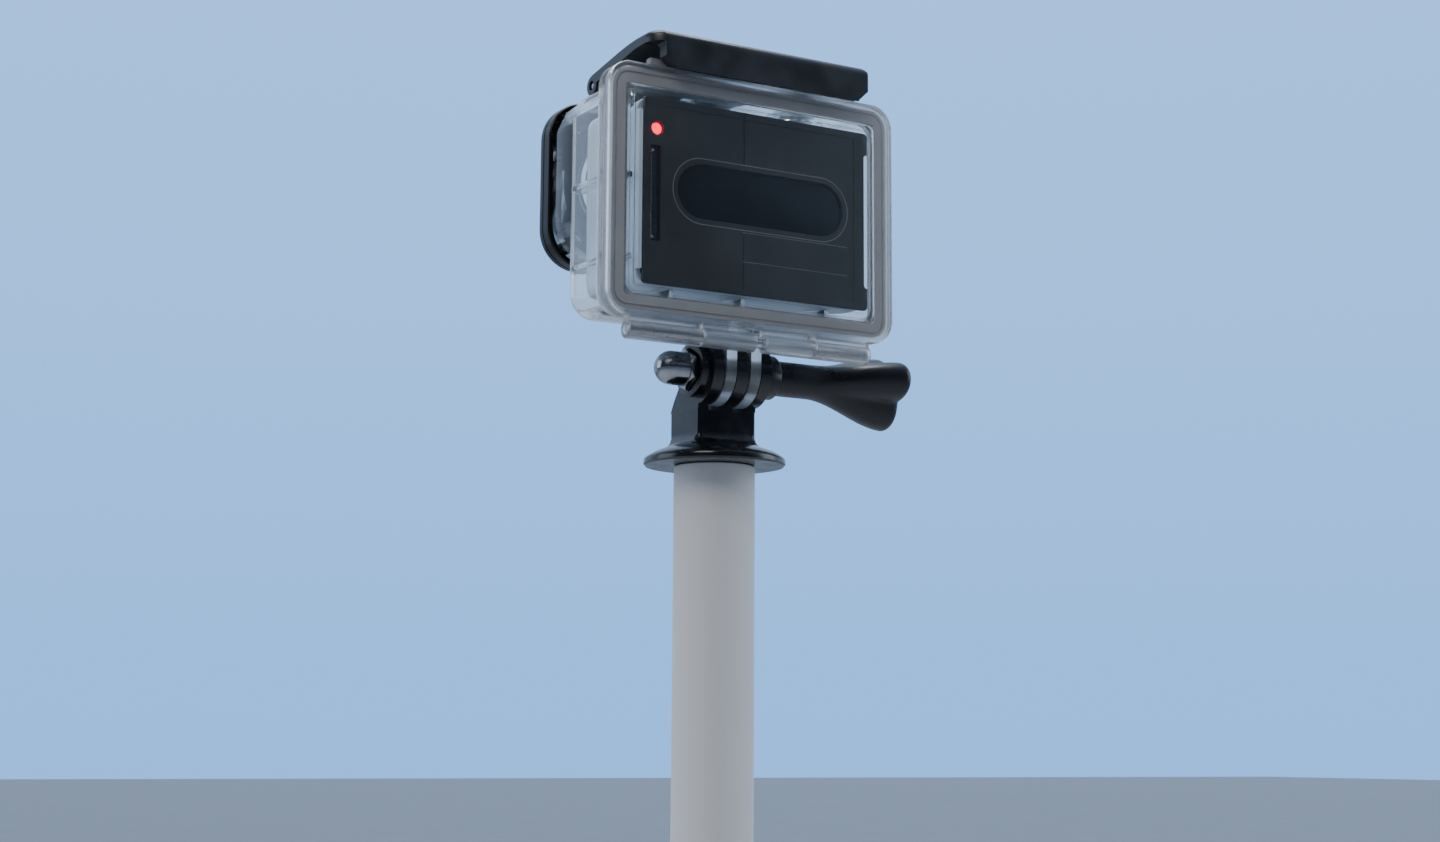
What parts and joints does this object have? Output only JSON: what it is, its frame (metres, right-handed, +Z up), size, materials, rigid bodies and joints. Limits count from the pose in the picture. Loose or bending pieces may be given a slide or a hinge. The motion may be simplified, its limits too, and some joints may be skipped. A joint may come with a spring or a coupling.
{
  "type": "action camera in waterproof housing",
  "caption": "Small box camera in a clear waterproof housing with a top latch, hinged back door and tilting prong mount on a round tripod adapter.",
  "frame": {"origin": "middle of the bounding box's base, in the plane of the tripod adapter's underside", "axes": "+Z up, lens towards -Y, back door towards +Y, lens side towards +X, thumbscrew towards -X"},
  "size_m": [0.081, 0.043, 0.0913],
  "materials": {
    "clear_plastic": "clear moulded polycarbonate",
    "black_gloss": "moulded, polished",
    "black_satin": "moulded, fine grain",
    "panel_plastic": "soft satin",
    "silver_plastic": "metallic paint",
    "seal_rubber": "translucent grey silicone",
    "dark_rubber": "moulded",
    "steel": "turned",
    "chrome": "polished",
    "brass": "machined",
    "circuit_board": "solder mask",
    "battery_wrap": "film",
    "lens_glass": "coated",
    "display_glass": "polished",
    "light_red": "lit"
  },
  "bodies": {
    "adapter": {"tripod_adapter": "black_gloss", "threaded_insert": "brass", "acorn_nut": "chrome"},
    "thumbscrew": {"thumbscrew_knob": "black_gloss", "clamp_bolt": "steel"},
    "housing": {"housing_body": "clear_plastic", "lens_bezel": "black_gloss", "port_glass": "lens_glass", "port_seal": "dark_rubber", "bezel_screw_1": "steel", "bezel_screw_2": "steel", "bezel_screw_3": "steel", "bezel_screw_4": "steel", "hinge_pin": "steel", "latch_pin": "steel", "shutter_o_ring": "dark_rubber", "mode_o_ring": "dark_rubber", "shutter_spring": "steel", "mode_spring": "steel", "camera_front_cover": "silver_plastic", "camera_frame": "silver_plastic", "camera_back_panel": "panel_plastic", "record_light": "light_red", "bus_connector": "black_satin", "lens_barrel": "black_satin", "lens_element": "lens_glass", "status_display": "display_glass", "main_board": "circuit_board", "sensor_board": "circuit_board", "processor_shield": "steel", "battery": "battery_wrap"},
    "door": {"back_door": "clear_plastic", "door_seal": "seal_rubber"},
    "latch_bar": {"latch": "black_satin"},
    "shutter_push": {"shutter_plunger": "silver_plastic", "shutter_clip": "steel"},
    "mode_push": {"mode_plunger": "silver_plastic", "mode_clip": "steel"},
    "shutter_button": {"camera_shutter_button": "silver_plastic"},
    "mode_button": {"camera_mode_button": "silver_plastic"}
  },
  "joints": [
    {"name": "housing_tilt", "type": "hinge", "parent": "adapter", "child": "housing", "pos_m": [0.0039, 0.0074, 0.0202], "axis": [1, 0, 0], "range_deg": [-60, 60]},
    {"name": "thumbscrew_turn", "type": "hinge", "parent": "adapter", "child": "thumbscrew", "pos_m": [0.0039, 0.0074, 0.0202], "axis": [-1, 0, 0], "continuous": true},
    {"name": "latch_open", "type": "hinge", "parent": "housing", "child": "latch_bar", "pos_m": [0.0137, -0.0076, 0.0855], "axis": [1, 0, 0], "range_deg": [0, 120]},
    {"name": "back_door_open", "type": "hinge", "parent": "housing", "child": "door", "pos_m": [0.0037, 0.0185, 0.0253], "axis": [-1, 0, 0], "range_deg": [0, 90]},
    {"name": "shutter_press", "type": "slide", "parent": "housing", "child": "shutter_push", "axis": [0, 0, -1], "range_m": [0, 0.0012], "stiffness_N_per_m": 1200, "springref_m": -0.0006, "deforming": ["shutter_spring"]},
    {"name": "mode_press", "type": "slide", "parent": "housing", "child": "mode_push", "axis": [0, 1, 0], "range_m": [0, 0.0012], "stiffness_N_per_m": 1200, "springref_m": -0.0006, "deforming": ["mode_spring"]},
    {"name": "camera_shutter_press", "type": "slide", "parent": "housing", "child": "shutter_button", "axis": [0, 0, -1], "range_m": [0, 0.0006]},
    {"name": "camera_mode_press", "type": "slide", "parent": "housing", "child": "mode_button", "axis": [0, 1, 0], "range_m": [0, 0.0006]}
  ],
  "couplings": [
    {"joint": "back_door_open", "follows": "latch_open", "ratio": 0.75},
    {"joint": "camera_shutter_press", "follows": "shutter_press", "ratio": 0.5},
    {"joint": "camera_mode_press", "follows": "mode_press", "ratio": 0.5}
  ]
}
